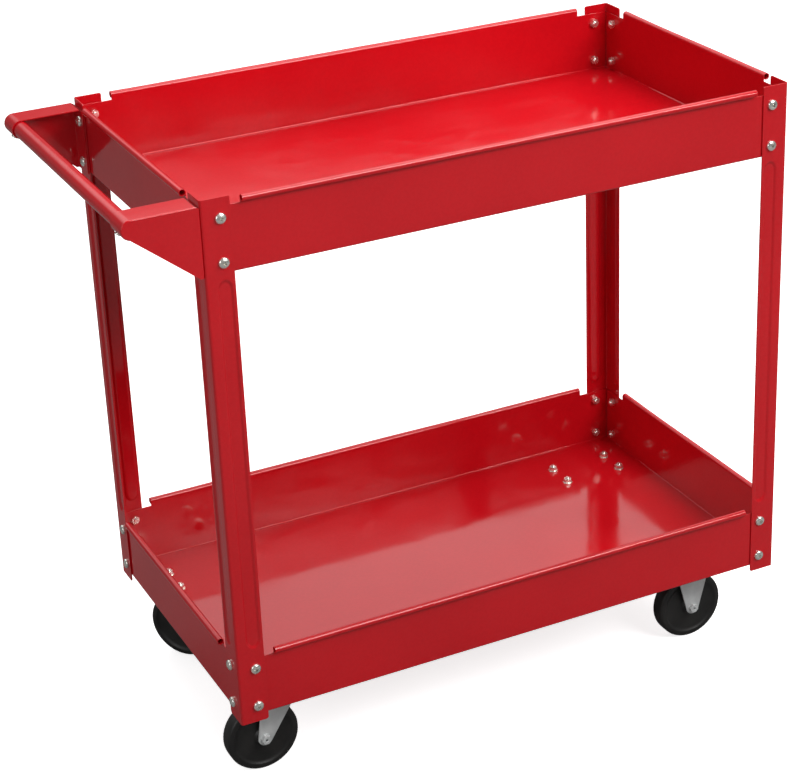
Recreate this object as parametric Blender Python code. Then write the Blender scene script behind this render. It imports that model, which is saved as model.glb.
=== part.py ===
"""Steel tool cart: two rolled-rim trays bolted into four angle legs, a push handle at one end,
two swivel casters under the handle end and two fixed casters under the far end.

+X runs along the cart away from the handle, +Y towards its back and +Z up. The origin is on
the floor under the middle of the cart's outline. Lengths are metres.
"""

import math

import bmesh
import bpy
from mathutils import Matrix, Vector

GAP = 0.0003                    # clearance between pieces that touch

# The cart over the outer faces of its legs
LENGTH = 0.762
WIDTH = 0.425
LEG_BASE = 0.1205               # underside of the legs above the floor

# Angle legs, measured from their underside and their outer corner
LEG_HEIGHT = 0.670
LEG_FLANGE = 0.035
LEG_SHEET = 0.0015
LEG_BEND = 0.003
RIB_CENTRE = 0.0227
RIB_WIDTH = 0.019
RIB_FLAT = 0.012
RIB_DEPTH = 0.002
RIB_BOTTOM = 0.101
RIB_TOP = 0.574
RIB_RUNOUT = 0.007

# Trays, measured from the underside of their floor
TRAY_LEVELS = {"bottom": 0.008, "top": 0.580}   # above the underside of the legs
TRAY_SHEET = 0.001
TRAY_HEIGHT = 0.089
TRAY_BEND = 0.0025
CORNER_HEIGHT = 0.079           # wall height where the rim is cut back from the legs
CORNER_CUT = 0.0475             # from the legs' outer corner to the end of the rolled rim
CURL_RADIUS = 0.00425
CURL_TURN = math.radians(290)
CURL_STEPS = 12

# Bolts between trays, legs and handle brackets
BOLT_INSET = 0.0227             # from the legs' outer corner
BOLT_HEIGHTS = {"lower": 0.014, "upper": 0.066}   # above the underside of the tray
BOLT_RADIUS = 0.003
BOLT_HEAD_RADIUS = 0.0065
BOLT_HEAD_HEIGHT = 0.0045
NUT_RADIUS = 0.0058
NUT_HEIGHT = 0.005
BOLT_END = 0.002                # thread that stands out of the nut
HOLE_RADIUS = 0.0035
HOLE_SIDES = 8

# Handle brackets, measured from the leg's outer face and the legs' underside
BRACKET_SHEET = 0.0015
BRACKET_FLANGE = 0.034
BRACKET_TOP = 0.664
BRACKET_FOOT = 0.580            # lower end of the plate at the leg
BRACKET_TAB_TOP = 0.661
BRACKET_BACK = 0.005            # where the top flange and the lower edge stop short of the leg
TUBE_REACH = 0.0785             # tube axis out from the legs' outer face
TUBE_RADIUS = 0.010
TUBE_WALL = 0.0012
TUBE_SIDES = 24
WRAP_END = math.radians(262)    # how far the flange wraps round the tube, from +X through +Z
WRAP_STEPS = 8
SCREW_ANGLE = math.radians(236)
SCREW_INSET = 0.024             # handle screw from the bracket's outer face
SCREW_RADIUS = 0.0021

# Casters
CASTER_END_INSET = {"left": 0.088, "right": 0.083}    # plate centre from the legs' end faces
CASTER_SIDE_INSET = 0.079       # plate centre from the legs' side faces
PLATE_SIZE = (0.104, 0.060)
PLATE_THICK = 0.0025
PLATE_HOLES = (0.085, 0.042)
WHEEL_RADIUS = 0.0475
WHEEL_SIDES = 28
HUB_HALF = 0.0130
AXLE_RADIUS = 0.004
AXLE_HEX = 0.0065
AXLE_HEX_HEIGHT = 0.0055
FORK_INNER = 0.0145             # half the space between the fork's cheeks
FORK_SHEET = 0.0022
FORK_END_RADIUS = 0.0095
FIXED_CHEEK_TOP = (-0.031, 0.031)    # along X from the plate's centre
SWIVEL_CHEEK_TOP = (-0.036, 0.021)   # along the fork from the swivel axis
SWIVEL_HEADING = {"front": 0.0, "back": math.radians(-50)}   # fork turned about +Z from +X
TRAIL = 0.036                   # swivel axis to axle
RACE_RADIUS = 0.023
RACE_HEIGHT = 0.0065
CROWN_RADIUS = 0.027
CROWN_THICK = 0.004
KINGPIN_RADIUS = 0.006
KINGPIN_HEAD_RADIUS = 0.011
KINGPIN_HEAD_HEIGHT = 0.004

# Derived places
CURL_REACH = 2 * CURL_RADIUS - TRAY_SHEET - LEG_SHEET - GAP     # rim outside the legs
WRAP_RADIUS = TUBE_RADIUS + GAP + BRACKET_SHEET
NOSE_REACH = TUBE_REACH + WRAP_RADIUS
X_LEFT = NOSE_REACH - (NOSE_REACH + LENGTH + CURL_REACH) / 2
X_RIGHT = X_LEFT + LENGTH
Y_SIDE = WIDTH / 2
WALL_INSET = LEG_SHEET + GAP    # tray wall's outer face behind the leg's outer face
TUBE_HEIGHT = BRACKET_TOP - WRAP_RADIUS
PLATE_TOP = LEG_BASE + TRAY_LEVELS["bottom"] - GAP
LEG_STACK = LEG_SHEET + GAP + TRAY_SHEET
TAB_STACK = BRACKET_SHEET + GAP

ENDS = {"left": (X_LEFT, 1), "right": (X_RIGHT, -1)}      # leg face and the way inwards
SIDES = {"front": (-Y_SIDE, 1), "back": (Y_SIDE, -1)}


def clear_scene():
    for obj in list(bpy.data.objects):
        bpy.data.objects.remove(obj, do_unlink=True)


def make_material(name, colour, roughness, metallic):
    material = bpy.data.materials.new(name)
    material.use_nodes = True
    shader = material.node_tree.nodes["Principled BSDF"]
    shader.inputs["Base Color"].default_value = (*colour, 1.0)
    shader.inputs["Roughness"].default_value = roughness
    shader.inputs["Metallic"].default_value = metallic
    return material


def add_object(name, bm, material=None, location=(0, 0, 0), parent=None, smooth=False):
    mesh = bpy.data.meshes.new(name)
    bm.to_mesh(mesh)
    bm.free()
    if smooth:
        mesh.shade_smooth()
        mesh.set_sharp_from_angle(angle=math.radians(40))
    obj = bpy.data.objects.new(name, mesh)
    obj.location = location
    obj.parent = parent
    bpy.context.collection.objects.link(obj)
    if material:
        mesh.materials.append(material)
    return obj


def boolean(obj, operation, bm):
    """Join a shape to obj, or cut it out of obj, in obj's own coordinates."""
    tool = add_object(f"{obj.name}_{operation.lower()}", bm, location=obj.location,
                      parent=obj.parent)
    tool.rotation_euler = obj.rotation_euler
    tool.hide_render = True
    tool.display_type = 'WIRE'
    modifier = obj.modifiers.new(operation.title(), 'BOOLEAN')
    modifier.operation = operation
    modifier.solver = 'EXACT'
    modifier.object = tool


def solidify(obj, thickness):
    """Thicken a sheet behind its outer skin."""
    modifier = obj.modifiers.new("Sheet", 'SOLIDIFY')
    modifier.thickness = thickness
    modifier.offset = -1.0
    modifier.solidify_mode = 'NON_MANIFOLD'
    modifier.nonmanifold_thickness_mode = 'CONSTRAINTS'
    modifier.nonmanifold_merge_threshold = 0.00001


def close_outwards(bm):
    """Point a closed solid's faces out of it."""
    bmesh.ops.recalc_face_normals(bm, faces=bm.faces)
    if bm.calc_volume(signed=True) < 0:
        bmesh.ops.reverse_faces(bm, faces=bm.faces)


def face_outwards(bm, inside):
    """Turn an open sheet's faces away from a point behind it."""
    bmesh.ops.recalc_face_normals(bm, faces=bm.faces)
    towards = sum((face.calc_center_median() - Vector(inside)).dot(face.normal) * face.calc_area()
                  for face in bm.faces)
    if towards < 0:
        bmesh.ops.reverse_faces(bm, faces=bm.faces)


def arc(centre, radius, start, end, steps):
    return [(centre[0] + radius * math.cos(start + (end - start) * i / steps),
             centre[1] + radius * math.sin(start + (end - start) * i / steps))
            for i in range(steps + 1)]


def cylinder(bm, centre, axis, radius, depth, sides):
    turn = Vector((0, 0, 1)).rotation_difference(Vector(axis)).to_matrix().to_4x4()
    bmesh.ops.create_cone(bm, cap_ends=True, segments=sides, radius1=radius, radius2=radius,
                          depth=depth, matrix=Matrix.Translation(centre) @ turn)


def prism(bm, outline, push):
    """A flat outline, given as points, pushed along a vector."""
    face = bm.faces.new([bm.verts.new(point) for point in outline])
    moved = bmesh.ops.extrude_face_region(bm, geom=[face])["geom"]
    verts = [item for item in moved if isinstance(item, bmesh.types.BMVert)]
    bmesh.ops.translate(bm, vec=Vector(push), verts=verts)
    bmesh.ops.recalc_face_normals(bm, faces=bm.faces)


def stack(rings):
    """A closed solid through (sides, radius, height) rings about Z, capped at both ends.

    Where the count of sides changes, one ring has a whole multiple of the other's.
    """
    bm = bmesh.new()
    loops = [[bm.verts.new((radius * math.cos(math.tau * i / sides),
                            radius * math.sin(math.tau * i / sides), height))
              for i in range(sides)] for sides, radius, height in rings]
    for pair in zip(loops, loops[1:]):
        few, many = sorted(pair, key=len)
        step = len(many) // len(few)
        for i in range(len(few)):
            span = [many[(i * step + k) % len(many)] for k in range(step + 1)]
            bm.faces.new(span + [few[(i + 1) % len(few)], few[i]])
    bm.faces.new(loops[0])
    bm.faces.new(loops[-1])
    close_outwards(bm)
    return bm


def lathe(profile, sides):
    """Turn a closed profile of (radius, offset) points round the Y axis."""
    bm = bmesh.new()
    verts = [bm.verts.new((radius, offset, 0)) for radius, offset in profile]
    edges = [bm.edges.new((verts[i - 1], verts[i])) for i in range(len(verts))]
    bmesh.ops.spin(bm, geom=verts + edges, cent=(0, 0, 0), axis=(0, 1, 0), angle=math.tau,
                   steps=sides, use_merge=True)
    close_outwards(bm)
    return bm


def turn_to(bm, axis):
    """Turn a shape made about Z so that its top faces along axis."""
    turn = Vector((0, 0, 1)).rotation_difference(Vector(axis)).to_matrix()
    bmesh.ops.transform(bm, matrix=turn.to_4x4(), verts=bm.verts)


def tapered_cheek(top_span, top, centre, radius):
    """Fork cheek outline in X and Z: a straight top edge narrowing to a round end."""
    left, right = top_span
    points = [(right, top), (left, top)]
    tangents = []
    for x, side in ((left, 1), (right, -1)):
        reach = math.hypot(x - centre[0], top - centre[1])
        lean = math.atan2(top - centre[1], x - centre[0])
        tangents.append(lean + side * math.acos(radius / reach))
    return points + arc(centre, radius, tangents[0], tangents[1] + math.tau, 8)


# Trays

def tray_side_profile(half):
    """Outer skin of one wall across the tray: floor bend, wall and rolled rim."""
    bend = arc((half - TRAY_BEND, TRAY_BEND), TRAY_BEND, -math.pi / 2, 0, 3)
    curl_radius = CURL_RADIUS - TRAY_SHEET
    curl = arc((half + curl_radius, TRAY_HEIGHT - CURL_RADIUS), curl_radius,
               math.pi, math.pi - CURL_TURN, CURL_STEPS)
    return bend + [(half, CORNER_HEIGHT)], curl


def tray_skin():
    half = (LENGTH / 2 - WALL_INSET, WIDTH / 2 - WALL_INSET)
    bm = bmesh.new()
    for along, across in ((0, 1), (1, 0)):
        wall, curl = tray_side_profile(half[across])
        ends = half[along] - TRAY_BEND
        rim = half[along] + WALL_INSET - CORNER_CUT
        columns = (-ends, -rim, rim, ends)
        for side in (-1, 1):
            def place(position, out, height):
                point = [0.0, 0.0, height]
                point[along] = position
                point[across] = side * out
                return bm.verts.new(point)
            grid = [[place(c, out, z) for out, z in wall] for c in columns]
            rims = [[place(c, out, z) for out, z in curl] for c in columns[1:3]]
            for left, right in zip(grid, grid[1:]):
                for i in range(len(wall) - 1):
                    bm.faces.new((left[i], right[i], right[i + 1], left[i + 1]))
            left, right = ([grid[k + 1][-1]] + rims[k] for k in (0, 1))
            for i in range(len(curl)):
                bm.faces.new((left[i], right[i], right[i + 1], left[i + 1]))
    bmesh.ops.remove_doubles(bm, verts=bm.verts, dist=1e-6)
    floor_edges = [edge for edge in bm.edges
                   if edge.is_boundary and max(vert.co.z for vert in edge.verts) < 1e-7]
    bmesh.ops.contextual_create(bm, geom=floor_edges)
    face_outwards(bm, (0, 0, CORNER_HEIGHT / 2))
    return bm


def corner_holes(bm, height):
    """Holes for the eight bolts of one corner level, through legs, walls and brackets."""
    for x_face, x_in in ENDS.values():
        for y_face, y_in in SIDES.values():
            for lift in BOLT_HEIGHTS.values():
                z = height + lift
                cylinder(bm, (x_face + x_in * BOLT_INSET, y_face, z), (0, 1, 0), HOLE_RADIUS,
                         0.02, HOLE_SIDES)
                cylinder(bm, (x_face, y_face + y_in * BOLT_INSET, z), (1, 0, 0), HOLE_RADIUS,
                         0.02, HOLE_SIDES)


def caster_centres():
    for end, (x_face, x_in) in ENDS.items():
        for side, (y_face, y_in) in SIDES.items():
            yield (end, side, x_face + x_in * CASTER_END_INSET[end],
                   y_face + y_in * CASTER_SIDE_INSET)


def plate_holes(bm, x, y, z):
    for step_x in (-0.5, 0.5):
        for step_y in (-0.5, 0.5):
            cylinder(bm, (x + step_x * PLATE_HOLES[0], y + step_y * PLATE_HOLES[1], z),
                     (0, 0, 1), HOLE_RADIUS, 0.02, HOLE_SIDES)


def make_tray(level, material):
    base = LEG_BASE + TRAY_LEVELS[level]
    middle = (X_LEFT + X_RIGHT) / 2
    tray = add_object(f"{level}_tray", tray_skin(), material, (middle, 0, base))
    solidify(tray, TRAY_SHEET)
    holes = bmesh.new()
    corner_holes(holes, base)
    if level == "bottom":
        for _, _, x, y in caster_centres():
            plate_holes(holes, x, y, base)
    bmesh.ops.translate(holes, vec=(-middle, 0, -base), verts=holes.verts)
    boolean(tray, 'DIFFERENCE', holes)


# Legs

def leg_profile(rib_depth):
    """Outer skin across one flange, from its free edge to the middle of the corner bend."""
    flat = RIB_FLAT / 2
    slope = RIB_WIDTH / 2
    bend = arc((LEG_BEND, LEG_BEND), LEG_BEND, -math.pi / 2, -3 * math.pi / 4, 3)
    return [(LEG_FLANGE, 0), (RIB_CENTRE + slope, 0), (RIB_CENTRE + flat, rib_depth),
            (RIB_CENTRE - flat, rib_depth), (RIB_CENTRE - slope, 0)] + bend


def make_leg(end, side, material):
    x_face, x_in = ENDS[end]
    y_face, y_in = SIDES[side]
    rows = ((0, 0), (RIB_BOTTOM, 0), (RIB_BOTTOM + RIB_RUNOUT, RIB_DEPTH),
            (RIB_TOP - RIB_RUNOUT, RIB_DEPTH), (RIB_TOP, 0), (LEG_HEIGHT, 0))
    bm = bmesh.new()
    grid = []
    for z, depth in rows:
        flange = leg_profile(depth)
        section = flange + [(v, u) for u, v in reversed(flange[:-1])]
        grid.append([bm.verts.new((x_in * u, y_in * v, z)) for u, v in section])
    for low, high in zip(grid, grid[1:]):
        for i in range(len(low) - 1):
            bm.faces.new((low[i], low[i + 1], high[i + 1], high[i]))
    face_outwards(bm, (x_in * LEG_FLANGE, y_in * LEG_FLANGE, LEG_HEIGHT / 2))
    leg = add_object(f"leg_{side}_{end}", bm, material, (x_face, y_face, LEG_BASE))
    solidify(leg, LEG_SHEET)
    holes = bmesh.new()
    for level in TRAY_LEVELS.values():
        for lift in BOLT_HEIGHTS.values():
            for place, axis in (((x_in * BOLT_INSET, 0, level + lift), (0, 1, 0)),
                                ((0, y_in * BOLT_INSET, level + lift), (1, 0, 0))):
                cylinder(holes, place, axis, HOLE_RADIUS, 0.01, HOLE_SIDES)
    boolean(leg, 'DIFFERENCE', holes)


# Tray bolts

def make_bolt(name, place, outwards, grip, material):
    """Pan-head bolt with its nut. place is on the outer face of the clamped sheets."""
    nut = -grip - GAP
    bm = stack([(12, BOLT_HEAD_RADIUS * 0.72, GAP + BOLT_HEAD_HEIGHT),
                (12, BOLT_HEAD_RADIUS, GAP + BOLT_HEAD_HEIGHT * 0.55),
                (12, BOLT_HEAD_RADIUS, GAP),
                (6, BOLT_RADIUS, GAP),
                (6, BOLT_RADIUS, nut),
                (6, NUT_RADIUS, nut),
                (6, NUT_RADIUS, nut - NUT_HEIGHT),
                (6, BOLT_RADIUS, nut - NUT_HEIGHT),
                (6, BOLT_RADIUS, nut - NUT_HEIGHT - BOLT_END)])
    turn_to(bm, outwards)
    add_object(name, bm, material, place, smooth=True)


def make_corner_bolts(material):
    for level, level_height in TRAY_LEVELS.items():
        for end, (x_face, x_in) in ENDS.items():
            for side, (y_face, y_in) in SIDES.items():
                held = TAB_STACK if (level, end) == ("top", "left") else 0
                for lift_name, lift in BOLT_HEIGHTS.items():
                    z = LEG_BASE + level_height + lift
                    name = f"bolt_{level}_{side}_{end}"
                    make_bolt(f"{name}_side_{lift_name}", (x_face + x_in * BOLT_INSET, y_face, z),
                              (0, -y_in, 0), LEG_STACK, material)
                    make_bolt(f"{name}_end_{lift_name}",
                              (x_face - x_in * held, y_face + y_in * BOLT_INSET, z),
                              (-x_in, 0, 0), LEG_STACK + held, material)


# Handle

def make_bracket(side, material):
    """Folded bracket: a side plate, a top flange that wraps round the tube, and a bolted tab."""
    y_face, y_in = SIDES[side]
    tab = -GAP                                   # tab's face against the leg
    wrap = arc((-TUBE_REACH, TUBE_HEIGHT), WRAP_RADIUS, math.pi / 2, WRAP_END, WRAP_STEPS)
    flange = [(-BRACKET_BACK, BRACKET_TOP)] + wrap
    edge = [(tab, BRACKET_FOOT), (tab, BRACKET_TAB_TOP)]
    bm = bmesh.new()
    plate = [bm.verts.new((x, 0, z)) for x, z in edge + flange + [(-BRACKET_BACK, BRACKET_FOOT)]]
    bm.faces.new(plate)
    for strip in (plate[0:2], plate[2:2 + len(flange)]):
        folded = [bm.verts.new((vert.co.x, y_in * BRACKET_FLANGE, vert.co.z)) for vert in strip]
        for i in range(len(strip) - 1):
            bm.faces.new((strip[i], strip[i + 1], folded[i + 1], folded[i]))
    face_outwards(bm, (-TUBE_REACH / 2, y_in * BRACKET_FLANGE / 2, TUBE_HEIGHT))
    bracket = add_object(f"handle_bracket_{side}", bm, material, (X_LEFT, y_face, LEG_BASE))
    solidify(bracket, BRACKET_SHEET)
    holes = bmesh.new()
    for lift in BOLT_HEIGHTS.values():
        cylinder(holes, (tab, y_in * BOLT_INSET, TRAY_LEVELS["top"] + lift), (1, 0, 0),
                 HOLE_RADIUS, 0.01, HOLE_SIDES)
    screw_hole(holes, y_in * SCREW_INSET, (-TUBE_REACH, TUBE_HEIGHT))
    boolean(bracket, 'DIFFERENCE', holes)


def screw_direction():
    return Vector((math.cos(SCREW_ANGLE), 0, math.sin(SCREW_ANGLE)))


def screw_hole(bm, y, axis_point):
    place = Vector((axis_point[0], y, axis_point[1])) + screw_direction() * TUBE_RADIUS
    cylinder(bm, place, screw_direction(), SCREW_RADIUS + 2 * GAP, 0.008, HOLE_SIDES)


def make_handle(red, zinc):
    for side in SIDES:
        make_bracket(side, red)
    half = Y_SIDE - BRACKET_SHEET - GAP
    axis_point = (X_LEFT - TUBE_REACH, LEG_BASE + TUBE_HEIGHT)
    inner = TUBE_RADIUS - TUBE_WALL
    tube = add_object("handle_tube",
                      lathe([(TUBE_RADIUS, -half), (TUBE_RADIUS, half), (inner, half),
                             (inner, -half)], TUBE_SIDES),
                      red, (axis_point[0], 0, axis_point[1]), smooth=True)
    holes = bmesh.new()
    for _, (y_face, y_in) in SIDES.items():
        screw_hole(holes, y_face + y_in * SCREW_INSET, (0, 0))
    boolean(tube, 'DIFFERENCE', holes)
    for side, (y_face, y_in) in SIDES.items():
        under_head = WRAP_RADIUS + GAP
        bm = stack([(12, SCREW_RADIUS * 1.5, under_head + 0.0020),
                    (12, SCREW_RADIUS * 2.1, under_head + 0.0010),
                    (12, SCREW_RADIUS * 2.1, under_head),
                    (6, SCREW_RADIUS, under_head),
                    (6, SCREW_RADIUS, TUBE_RADIUS - TUBE_WALL - 0.002)])
        turn_to(bm, screw_direction())
        place = (axis_point[0], y_face + y_in * SCREW_INSET, axis_point[1])
        add_object(f"handle_screw_{side}", bm, zinc, place, smooth=True)


# Casters

def wheel_profile():
    """Half-section of the wheel as (radius, offset) points, from the bore out and round."""
    half = [(AXLE_RADIUS + GAP, HUB_HALF), (0.0105, HUB_HALF), (0.0125, 0.0085),
            (0.0350, 0.0080), (0.0370, 0.0110), (0.0448, 0.0108), (0.0471, 0.0065)]
    tread = [(WHEEL_RADIUS, 0.0)]
    return half + tread + [(radius, -offset) for radius, offset in reversed(half)]


def make_wheel(name, material, location, parent=None):
    add_object(name, lathe(wheel_profile(), WHEEL_SIDES), material, location, parent, smooth=True)


def make_axle(name, material, location, parent=None):
    """Axle bolt along Y with its hexagon head and nut outside the cheeks."""
    reach = FORK_INNER + FORK_SHEET + GAP
    rings = [(6, AXLE_HEX, reach + AXLE_HEX_HEIGHT), (6, AXLE_HEX, reach),
             (12, AXLE_RADIUS, reach), (12, AXLE_RADIUS, -reach), (6, AXLE_HEX, -reach),
             (6, AXLE_HEX, -reach - AXLE_HEX_HEIGHT)]
    bm = stack(rings)
    turn_to(bm, (0, 1, 0))
    add_object(name, bm, material, location, parent, smooth=True)


def cheeks(top_span, top, axle):
    """Both fork cheeks, from the wheel's sides outwards."""
    bm = bmesh.new()
    outline = tapered_cheek(top_span, top, axle, FORK_END_RADIUS)
    for side in (-1, 1):
        prism(bm, [(x, side * FORK_INNER, z) for x, z in outline], (0, side * FORK_SHEET, 0))
    return bm


def axle_hole(x, z):
    bm = bmesh.new()
    cylinder(bm, (x, 0, z), (0, 1, 0), AXLE_RADIUS + 2 * GAP, 0.06, 12)
    return bm


def mounting_plate(bm):
    """Caster plate with clipped corners, its top at height zero."""
    half_x, half_y = PLATE_SIZE[0] / 2, PLATE_SIZE[1] / 2
    clip = 0.006
    quarter = [(half_x, half_y - clip), (half_x - clip, half_y)]
    outline = quarter + [(-x, y) for x, y in reversed(quarter)]
    outline += [(-x, -y) for x, y in outline]
    prism(bm, [(x, y, 0) for x, y in outline], (0, 0, -PLATE_THICK))


def make_fixed_caster(name, x, y, zinc, rubber):
    bm = bmesh.new()
    mounting_plate(bm)
    axle_drop = WHEEL_RADIUS - PLATE_TOP
    bracket = add_object(f"{name}_bracket", bm, zinc, (x, y, PLATE_TOP))
    boolean(bracket, 'UNION', cheeks(FIXED_CHEEK_TOP, -PLATE_THICK / 2, (0, axle_drop)))
    holes = axle_hole(0, axle_drop)
    plate_holes(holes, 0, 0, 0)
    boolean(bracket, 'DIFFERENCE', holes)
    make_axle(f"{name}_axle", zinc, (x, y, WHEEL_RADIUS))
    make_wheel(f"{name}_wheel", rubber, (x, y, WHEEL_RADIUS))


def make_swivel_caster(name, x, y, heading, zinc, rubber):
    bm = bmesh.new()
    mounting_plate(bm)
    plate = add_object(f"{name}_plate", bm, zinc, (x, y, PLATE_TOP))
    race = bmesh.new()
    race_bottom = PLATE_THICK + RACE_HEIGHT
    cylinder(race, (0, 0, -race_bottom / 2 - PLATE_THICK / 4), (0, 0, 1), RACE_RADIUS,
             race_bottom - PLATE_THICK / 2, 24)
    boolean(plate, 'UNION', race)
    holes = bmesh.new()
    cylinder(holes, (0, 0, 0), (0, 0, 1), KINGPIN_RADIUS + GAP, 0.04, 16)
    plate_holes(holes, 0, 0, 0)
    boolean(plate, 'DIFFERENCE', holes)

    crown_top = PLATE_TOP - race_bottom - GAP
    crown = bmesh.new()
    cylinder(crown, (0, 0, -CROWN_THICK / 2), (0, 0, 1), CROWN_RADIUS, CROWN_THICK, 24)
    fork = add_object(f"{name}_fork", crown, zinc, (x, y, crown_top))
    fork.rotation_euler.z = heading
    axle_drop = WHEEL_RADIUS - crown_top
    bridge = bmesh.new()
    reach = FORK_INNER + FORK_SHEET / 2
    prism(bridge, [(SWIVEL_CHEEK_TOP[0], -reach, 0), (SWIVEL_CHEEK_TOP[0], reach, 0),
                   (0, reach, 0), (0, -reach, 0)], (0, 0, -CROWN_THICK * 0.8))
    bmesh.ops.translate(bridge, vec=(0, 0, -CROWN_THICK * 0.1), verts=bridge.verts)
    boolean(fork, 'UNION', bridge)
    boolean(fork, 'UNION', cheeks(SWIVEL_CHEEK_TOP, -CROWN_THICK / 2, (-TRAIL, axle_drop)))
    holes = axle_hole(-TRAIL, axle_drop)
    cylinder(holes, (0, 0, 0), (0, 0, 1), KINGPIN_RADIUS + GAP, 0.02, 16)
    boolean(fork, 'DIFFERENCE', holes)

    shank = crown_top - CROWN_THICK - GAP
    pin = stack([(16, KINGPIN_RADIUS, PLATE_TOP - GAP), (16, KINGPIN_RADIUS, shank),
                 (16, KINGPIN_HEAD_RADIUS, shank),
                 (16, KINGPIN_HEAD_RADIUS, shank - KINGPIN_HEAD_HEIGHT * 0.6),
                 (16, KINGPIN_HEAD_RADIUS * 0.7, shank - KINGPIN_HEAD_HEIGHT)])
    add_object(f"{name}_kingpin", pin, zinc, (x, y, 0), smooth=True)
    make_axle(f"{name}_axle", zinc, (-TRAIL, 0, axle_drop), fork)
    make_wheel(f"{name}_wheel", rubber, (-TRAIL, 0, axle_drop), fork)


def main():
    clear_scene()
    red = make_material("red_powder_coat", (0.560, 0.012, 0.016), 0.28, 0.0)
    zinc = make_material("zinc_plate", (0.600, 0.620, 0.630), 0.36, 1.0)
    bright = make_material("bright_zinc", (0.780, 0.790, 0.780), 0.22, 1.0)
    rubber = make_material("black_wheel", (0.012, 0.012, 0.012), 0.48, 0.0)
    for level in TRAY_LEVELS:
        make_tray(level, red)
    for end in ENDS:
        for side in SIDES:
            make_leg(end, side, red)
    make_handle(red, bright)
    make_corner_bolts(bright)
    for end, side, x, y in caster_centres():
        if end == "left":
            make_swivel_caster(f"swivel_caster_{side}", x, y, SWIVEL_HEADING[side], zinc, rubber)
        else:
            make_fixed_caster(f"fixed_caster_{side}", x, y, zinc, rubber)


main()
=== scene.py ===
import math

import bmesh
import bpy
from mathutils import Matrix, Vector, noise


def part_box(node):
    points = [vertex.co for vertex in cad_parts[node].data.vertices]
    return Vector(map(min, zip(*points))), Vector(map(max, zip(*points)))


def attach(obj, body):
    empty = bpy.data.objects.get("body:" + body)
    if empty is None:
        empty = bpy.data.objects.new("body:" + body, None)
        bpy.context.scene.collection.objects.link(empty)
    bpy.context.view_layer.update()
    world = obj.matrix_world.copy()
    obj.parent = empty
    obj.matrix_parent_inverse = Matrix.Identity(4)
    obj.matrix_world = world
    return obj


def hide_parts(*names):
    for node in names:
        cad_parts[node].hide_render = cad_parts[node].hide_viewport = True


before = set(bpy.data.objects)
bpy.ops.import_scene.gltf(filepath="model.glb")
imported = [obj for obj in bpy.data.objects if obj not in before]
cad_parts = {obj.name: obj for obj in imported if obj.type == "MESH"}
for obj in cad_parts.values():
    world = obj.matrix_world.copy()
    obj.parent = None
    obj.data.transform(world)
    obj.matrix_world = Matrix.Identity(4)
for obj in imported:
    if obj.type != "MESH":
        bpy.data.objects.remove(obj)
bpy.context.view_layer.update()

up = Vector((0, 0, 1))

# Shader wiring


class Wire:
    # one output socket that takes part in Python arithmetic
    def __init__(self, finish, socket):
        self.finish = finish
        self.socket = socket

    def calc(self, operation, *values):
        return self.finish.add("ShaderNodeMath", {"operation": operation}, dict(enumerate(values)))

    def __add__(self, other):
        return self.calc('ADD', self, other)

    def __radd__(self, other):
        return self.calc('ADD', other, self)

    def __sub__(self, other):
        return self.calc('SUBTRACT', self, other)

    def __rsub__(self, other):
        return self.calc('SUBTRACT', other, self)

    def __mul__(self, other):
        return self.calc('MULTIPLY', self, other)

    def __rmul__(self, other):
        return self.calc('MULTIPLY', other, self)

    def above(self, low, high):
        # 0 below low, 1 above high, eased in between
        return self.finish.add("ShaderNodeMapRange", {"interpolation_type": 'SMOOTHSTEP'},
                               {"Value": self, "From Min": low, "From Max": high})


class Finish:
    # a Principled material and the record's slot that it belongs to
    def __init__(self, name, slotName, **constants):
        self.slotName = slotName
        self.material = bpy.data.materials.new(name)
        self.material.use_nodes = True
        self.nodes = self.material.node_tree.nodes
        self.links = self.material.node_tree.links
        self.shader = self.nodes["Principled BSDF"]
        for socket, value in constants.items():
            self.shader.inputs[socket.replace("_", " ")].default_value = value
        self.place = self.add("ShaderNodeTexCoord", {}, {}, "Object")

    def add(self, kind, settings, values, output=0):
        node = self.nodes.new(kind)
        for name, value in settings.items():
            setattr(node, name, value)
        for socket, value in values.items():
            if isinstance(value, Wire):
                self.links.new(value.socket, node.inputs[socket])
            else:
                node.inputs[socket].default_value = value
        return Wire(self, node.outputs[output])

    def feed(self, socket, wire):
        self.links.new(wire.socket, self.shader.inputs[socket])

    def grain(self, scale, detail=2.0, stretch=(1, 1, 1), distortion=0.0):
        place = self.add("ShaderNodeMapping", {}, {"Vector": self.place, "Scale": stretch})
        return self.add("ShaderNodeTexNoise", {}, {"Vector": place, "Scale": scale, "Detail": detail,
                                                   "Distortion": distortion})

    def mix(self, first, second, factor):
        return self.add("ShaderNodeMix", {"data_type": 'RGBA'},
                        {0: factor, 6: (*first, 1) if isinstance(first, tuple) else first,
                         7: (*second, 1) if isinstance(second, tuple) else second}, 2)

    def edges(self, radius):
        # 1 along folds and cut edges, 0 on flat sheet; the red paint lightens there, partly for its
        # thinner coat and partly as a painted highlight
        worn = self.add("ShaderNodeBevel", {"samples": 4}, {"Radius": radius})
        true = self.add("ShaderNodeNewGeometry", {}, {}, "Normal")
        facing = self.add("ShaderNodeVectorMath", {"operation": 'DOT_PRODUCT'}, {0: worn, 1: true},
                          "Value")
        return (1 - facing).above(0.01, 0.16)

    def bump(self, height, strength, depth, before=None):
        values = {"Height": height, "Strength": strength, "Distance": depth}
        if before:
            values["Normal"] = before
        return self.add("ShaderNodeBump", {}, values)


# Shape tools


def extrude(bm, edges, move):
    made = bmesh.ops.extrude_edge_only(bm, edges=edges)["geom"]
    verts = {item for item in made if isinstance(item, bmesh.types.BMVert)}
    bmesh.ops.translate(bm, vec=move, verts=list(verts))
    return [item for item in made if isinstance(item, bmesh.types.BMEdge)
            and set(item.verts) <= verts]


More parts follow.
